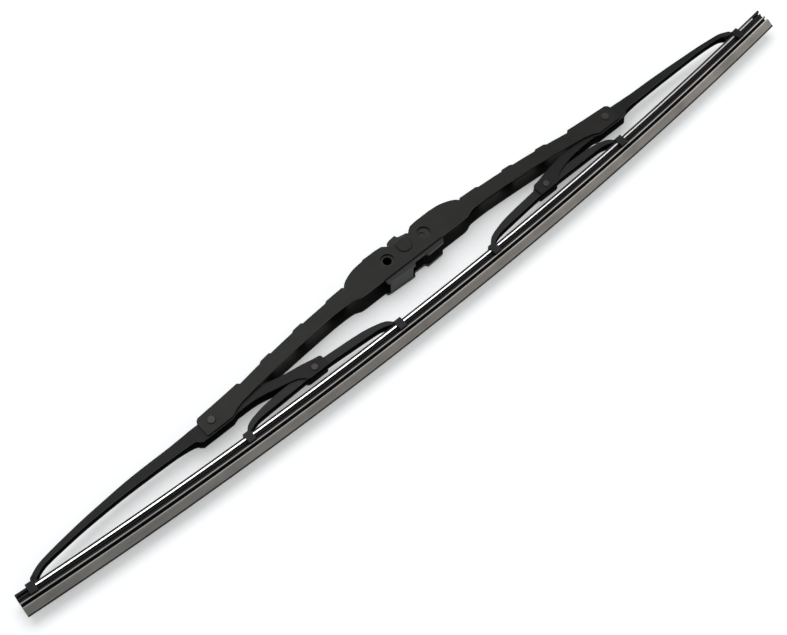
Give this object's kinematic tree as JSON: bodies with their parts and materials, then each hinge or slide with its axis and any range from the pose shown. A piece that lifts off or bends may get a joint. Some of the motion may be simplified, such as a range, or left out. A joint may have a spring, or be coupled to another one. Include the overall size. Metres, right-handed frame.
{
  "type": "wiper blade",
  "caption": "Bracket-style wiper blade: vented steel bridge, two yokes and two claw bars on rivets, holding a curved rubber element with steel strips, and a pivoting arm adapter.",
  "frame": {"origin": "middle of the side-pin bore in the arm adapter, on the blade's mid-plane", "axes": "+X along the blade, +Y from the wiping lip towards the bridge's back, +Z across the blade, along every pivot"},
  "size_m": [0.5292, 0.0528, 0.0174],
  "materials": {
    "bridge_paint": "satin black coated sheet steel",
    "yoke_paint": "satin black coated sheet steel",
    "bar_paint": "satin blue-black coated sheet steel",
    "rivet_paint": "satin black coated steel",
    "rivet_steel": "dull darkened steel",
    "adapter_plastic": "matt black moulded nylon",
    "liner_plastic": "matt black moulded nylon",
    "lip_rubber": "matt graphite-coated rubber",
    "strip_steel": "bright rolled spring steel"
  },
  "bodies": {
    "bridge": {"primary_bridge": "bridge_paint", "center_rivet": "rivet_paint", "center_sleeve": "rivet_steel", "left_yoke_rivet": "rivet_steel", "right_yoke_rivet": "rivet_steel"},
    "adapter": {"arm_adapter": "adapter_plastic"},
    "left_yoke": {"left_yoke": "yoke_paint", "left_yoke_liner": "liner_plastic", "left_claw_rivet": "rivet_steel"},
    "right_yoke": {"right_yoke": "yoke_paint", "right_yoke_liner": "liner_plastic", "right_claw_rivet": "rivet_steel"},
    "left_claw_bar": {"left_claw_bar": "bar_paint", "left_claw_liner": "liner_plastic"},
    "right_claw_bar": {"right_claw_bar": "bar_paint", "right_claw_liner": "liner_plastic"},
    "wiping_element": {"wiping_rubber": "lip_rubber", "front_steel_strip": "strip_steel", "back_steel_strip": "strip_steel"}
  },
  "joints": [
    {"name": "adapter_tilt", "type": "hinge", "parent": "bridge", "child": "adapter", "pos_m": [0.0129, 0.0012, 0], "axis": [0, 0, 1], "range_deg": [-20, 20]},
    {"name": "left_yoke_swing", "type": "hinge", "parent": "bridge", "child": "left_yoke", "pos_m": [-0.1269, -0.0099, 0], "axis": [0, 0, 1], "range_deg": [-2, 6], "stiffness_Nm_per_rad": 0.6, "deforming": ["wiping_rubber", "front_steel_strip", "back_steel_strip"]},
    {"name": "right_yoke_swing", "type": "hinge", "parent": "bridge", "child": "right_yoke", "pos_m": [0.1527, -0.0099, 0], "axis": [0, 0, 1], "range_deg": [-6, 2]},
    {"name": "left_bar_swing", "type": "hinge", "parent": "left_yoke", "child": "left_claw_bar", "pos_m": [-0.06835, -0.02119, 0], "axis": [0, 0, 1], "range_deg": [-3, 1]},
    {"name": "right_bar_swing", "type": "hinge", "parent": "right_yoke", "child": "right_claw_bar", "pos_m": [0.09819, -0.01948, 0], "axis": [0, 0, 1], "range_deg": [-1, 3]},
    {"name": "element_rise", "type": "slide", "parent": "bridge", "child": "wiping_element", "axis": [0, 1, 0], "range_m": [-0.0032, 0.0092]}
  ],
  "couplings": [
    {"joint": "right_yoke_swing", "follows": "left_yoke_swing", "ratio": -1},
    {"joint": "left_bar_swing", "follows": "left_yoke_swing", "ratio": -0.47},
    {"joint": "right_bar_swing", "follows": "left_yoke_swing", "ratio": 0.47},
    {"joint": "element_rise", "follows": "left_yoke_swing", "m_per_rad": 0.086}
  ]
}
